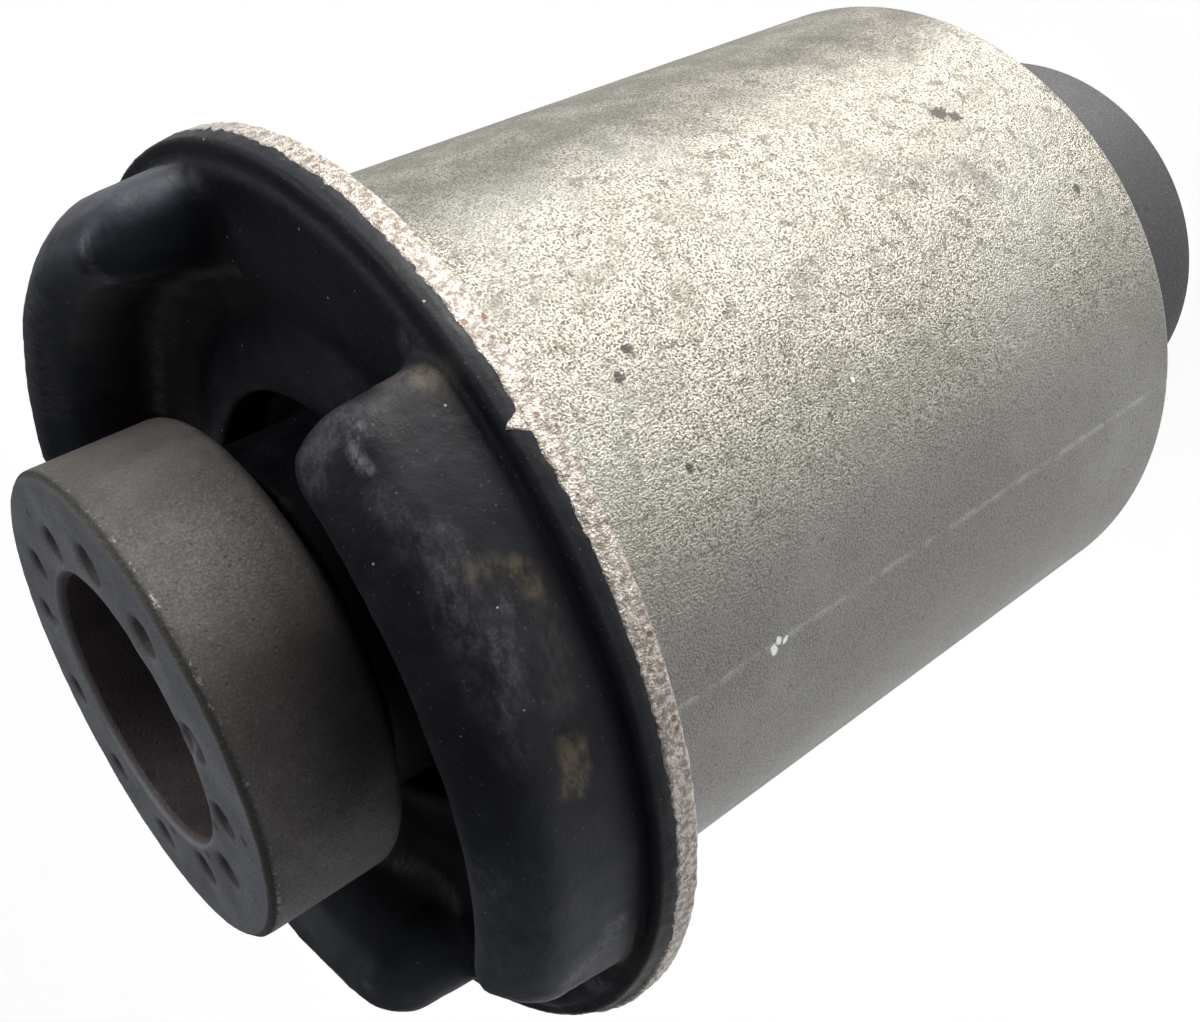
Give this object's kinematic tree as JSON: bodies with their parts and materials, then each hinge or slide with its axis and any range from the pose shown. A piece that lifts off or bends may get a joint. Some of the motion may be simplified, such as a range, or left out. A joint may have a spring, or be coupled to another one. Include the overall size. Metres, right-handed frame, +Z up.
{
  "type": "rubber metal bush",
  "caption": "Bonded rubber bush with a flanged steel outer sleeve, rubber stop lobes and a thick bored inner sleeve.",
  "frame": {"origin": "centre of the inner sleeve's lower end face, which the bush stands on", "axes": "+Z up along the axis of the bush, towards the flanged end; +X lies on one side of the widest lobe gap"},
  "size_m": [0.073, 0.073, 0.106],
  "materials": {
    "dark_steel": "dull phosphated, finely pitted",
    "coated_steel": "satin, grainy zinc coat",
    "black_rubber": "satin, dusty and scuffed"
  },
  "bodies": {
    "root": {"inner_sleeve": "dark_steel", "outer_sleeve": "coated_steel", "rubber_body": "black_rubber"}
  },
  "joints": []
}
